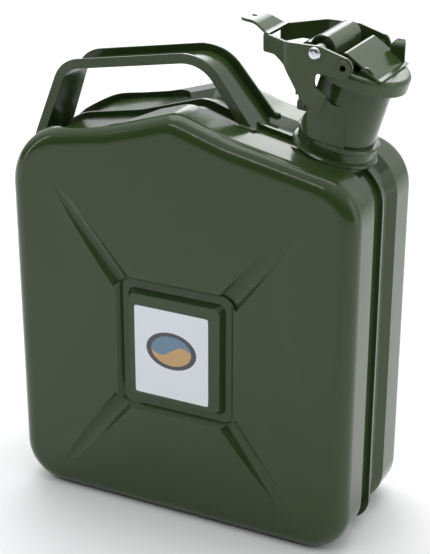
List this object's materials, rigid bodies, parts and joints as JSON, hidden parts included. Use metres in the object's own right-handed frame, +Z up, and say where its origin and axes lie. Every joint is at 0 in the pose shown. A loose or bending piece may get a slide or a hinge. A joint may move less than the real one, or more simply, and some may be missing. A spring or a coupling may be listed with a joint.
{
  "type": "steel jerry can",
  "caption": "Small upright pressed-steel fuel can with cross-ribbed faces, a strap handle on top and a tilted neck closed by a hinged lever cap.",
  "frame": {"origin": "bottom centre of the can, on the surface it stands on", "axes": "+Z up, +X towards the neck and spout side, -Y the labelled face"},
  "size_m": [0.25, 0.1022, 0.3341],
  "materials": {
    "olive_paint": "gloss enamel over steel",
    "zinc_plate": "bright zinc plate",
    "bare_steel": "oiled steel",
    "seal_rubber": "matt black fuel-proof rubber",
    "label_film": "printed film"
  },
  "bodies": {
    "can": {"front_shell": "olive_paint", "rear_shell": "olive_paint", "front_label": "label_film", "carry_handle": "olive_paint", "handle_welds": "olive_paint", "neck_tube": "olive_paint", "neck_collar": "olive_paint", "breather_tube": "bare_steel", "breather_clip": "bare_steel", "neck_brackets": "olive_paint", "hinge_lugs": "olive_paint", "hinge_pin": "olive_paint"},
    "lid": {"cap_shell": "olive_paint", "cap_saddle": "olive_paint", "lid_strap": "olive_paint", "gasket": "seal_rubber", "gasket_keeper": "zinc_plate", "keeper_rivet": "zinc_plate", "pivot_tube": "olive_paint"},
    "lever": {"lever_yoke": "olive_paint", "latch_pin": "zinc_plate", "latch_washers": "zinc_plate", "spring_hood": "olive_paint", "lever_spring": "bare_steel"}
  },
  "joints": [
    {"name": "lid_hinge", "type": "hinge", "parent": "can", "child": "lid", "pos_m": [0.0664, 0, 0.2852], "axis": [0, -1, 0], "range_deg": [0, 80]},
    {"name": "lever_pivot", "type": "hinge", "parent": "lid", "child": "lever", "pos_m": [0.1015, 0, 0.3172], "axis": [0, 1, 0], "range_deg": [0, 128]}
  ],
  "couplings": [
    {"joint": "lever_pivot", "follows": "lid_hinge", "ratio": 1.6}
  ]
}
